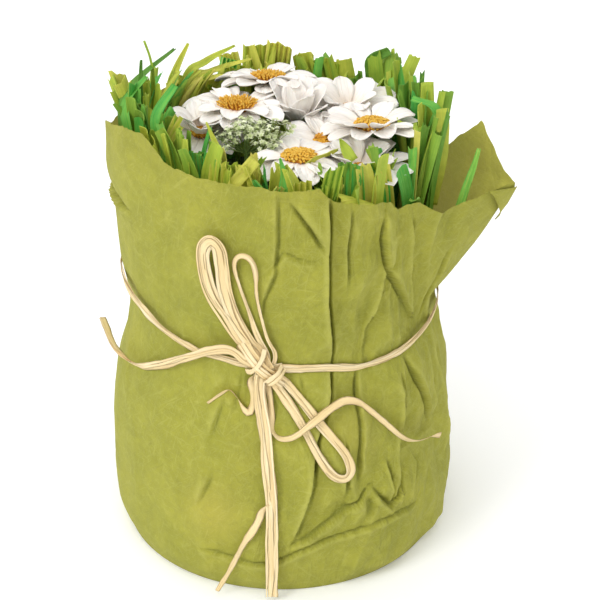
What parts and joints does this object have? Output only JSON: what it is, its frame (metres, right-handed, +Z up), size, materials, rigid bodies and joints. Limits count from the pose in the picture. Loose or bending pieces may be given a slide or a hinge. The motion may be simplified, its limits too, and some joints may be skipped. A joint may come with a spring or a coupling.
{
  "type": "wrapped flower bouquet",
  "caption": "Round standing bouquet of daisies in a collar of dyed flat strips, wrapped in green paper and tied with a raffia bow.",
  "frame": {"origin": "centre of the flat base, on the surface the bouquet stands on", "axes": "+Z up along the bouquet's axis; the raffia bow faces -Y and the wrapper's loose corner stands out towards +X"},
  "size_m": [0.1657, 0.1483, 0.203],
  "materials": {
    "wrapping_paper": "matte",
    "tub_plastic": "matte",
    "floral_foam": "matte",
    "dyed_strips": "matte",
    "petals": "matte",
    "flower_disc": "matte",
    "stem": "matte",
    "florets": "matte",
    "raffia": "satin"
  },
  "bodies": {
    "root": {"paper_wrapper": "wrapping_paper", "base_tub": "tub_plastic", "foam_core": "floral_foam", "strip_bundle_01": "dyed_strips", "strip_bundle_02": "dyed_strips", "strip_bundle_03": "dyed_strips", "strip_bundle_04": "dyed_strips", "strip_bundle_05": "dyed_strips", "strip_bundle_06": "dyed_strips", "strip_bundle_07": "dyed_strips", "strip_bundle_08": "dyed_strips", "strip_bundle_09": "dyed_strips", "strip_bundle_10": "dyed_strips", "strip_bundle_11": "dyed_strips", "strip_bundle_12": "dyed_strips", "strip_bundle_13": "dyed_strips", "strip_bundle_14": "dyed_strips", "strip_bundle_15": "dyed_strips", "strip_bundle_16": "dyed_strips", "daisy_back_petals": "petals", "daisy_back_disc": "flower_disc", "daisy_back_stem": "stem", "daisy_left_petals": "petals", "daisy_left_disc": "flower_disc", "daisy_left_stem": "stem", "daisy_right_petals": "petals", "daisy_right_disc": "flower_disc", "daisy_right_stem": "stem", "daisy_centre_petals": "petals", "daisy_centre_disc": "flower_disc", "daisy_centre_stem": "stem", "daisy_front_petals": "petals", "daisy_front_disc": "flower_disc", "daisy_front_stem": "stem", "daisy_cupped_petals": "petals", "daisy_cupped_disc": "flower_disc", "daisy_cupped_stem": "stem", "daisy_back_right_petals": "petals", "daisy_back_right_disc": "flower_disc", "daisy_back_right_stem": "stem", "daisy_low_left_petals": "petals", "daisy_low_left_disc": "flower_disc", "daisy_low_left_stem": "stem", "daisy_low_front_right_petals": "petals", "daisy_low_front_right_disc": "flower_disc", "daisy_low_front_right_stem": "stem", "sprig_florets": "florets", "sprig_stem": "stem", "raffia_knot": "raffia", "raffia_band": "raffia", "raffia_loop_upper": "raffia", "raffia_loop_thin": "raffia", "raffia_loop_lower": "raffia", "raffia_tail_left": "raffia", "raffia_tail_down": "raffia", "raffia_tail_side": "raffia", "raffia_curl_left": "raffia", "raffia_curl_right": "raffia"}
  },
  "joints": []
}
